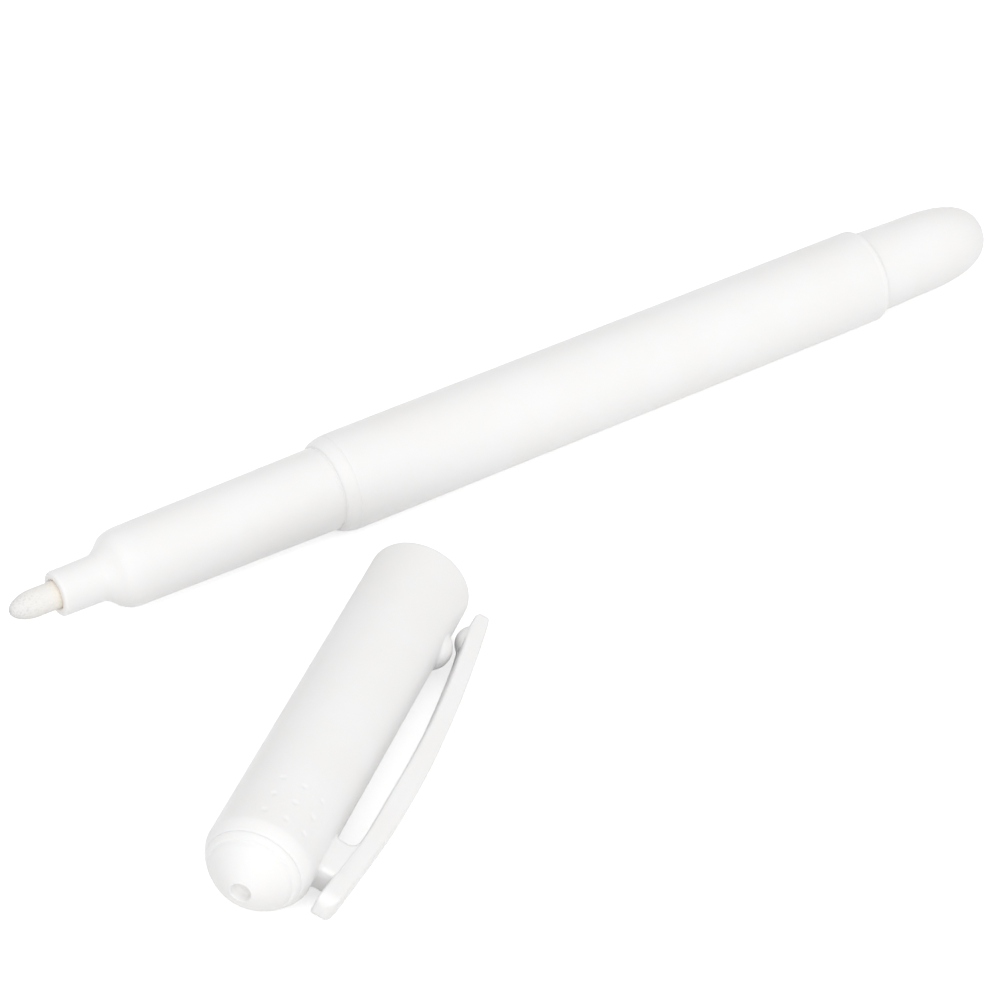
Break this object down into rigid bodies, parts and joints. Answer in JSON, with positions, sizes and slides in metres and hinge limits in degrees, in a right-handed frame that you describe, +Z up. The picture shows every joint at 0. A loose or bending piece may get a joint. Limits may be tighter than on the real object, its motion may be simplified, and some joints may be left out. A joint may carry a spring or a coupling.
{
  "type": "marking pen",
  "caption": "Marking pen lying on its side: bullet nib on a push valve, plain round barrel, domed tail plug, with its clip cap taken off and lying beside the nib.",
  "frame": {"origin": "middle of the whole part's outline seen from above, on the table it lies on", "axes": "+X along the pen from nib to tail, +Z up from the table, the cap lies towards -Y"},
  "size_m": [0.1322, 0.0602, 0.0111],
  "materials": {
    "white_plastic": "smooth white moulded plastic with a soft sheen",
    "milky_plastic": "natural unpigmented plastic of the hidden valve and liner",
    "nib_fibre": "bonded dry fibre, fine grained",
    "spring_steel": "drawn stainless wire",
    "ball_steel": "polished steel ball"
  },
  "bodies": {
    "pen": {"barrel": "white_plastic", "front_section": "white_plastic", "valve_body": "milky_plastic", "valve_cage": "milky_plastic", "valve_spring": "spring_steel", "tail_plug": "white_plastic"},
    "nib_set": {"nib": "nib_fibre", "valve_stem": "milky_plastic"},
    "ball": {"mixing_ball": "ball_steel"},
    "cap": {"cap_shell": "white_plastic", "cap_crown": "white_plastic", "inner_cap": "milky_plastic", "clip_base": "white_plastic"},
    "clip": {"clip_arm": "white_plastic"}
  },
  "joints": [
    {"name": "nib_press", "type": "slide", "parent": "pen", "child": "nib_set", "axis": [1, 0, 0], "range_m": [0, 0.0015], "stiffness_N_per_m": 150, "deforming": ["valve_spring"]},
    {"name": "ball_rattle", "type": "slide", "parent": "pen", "child": "ball", "axis": [1, 0, 0], "range_m": [-0.0187, 0.0292]},
    {"name": "cap_swing", "type": "hinge", "parent": "pen", "child": "cap", "pos_m": [-0.02192, 0.09358, 0.00556], "axis": [0, 0, -1], "range_deg": [0, 37.01]},
    {"name": "clip_flex", "type": "hinge", "parent": "cap", "child": "clip", "pos_m": [-0.04973, -0.02498, 0.0018], "axis": [-0.234, 0.3104, -0.9213], "range_deg": [0, 4], "stiffness_Nm_per_rad": 1.3}
  ]
}
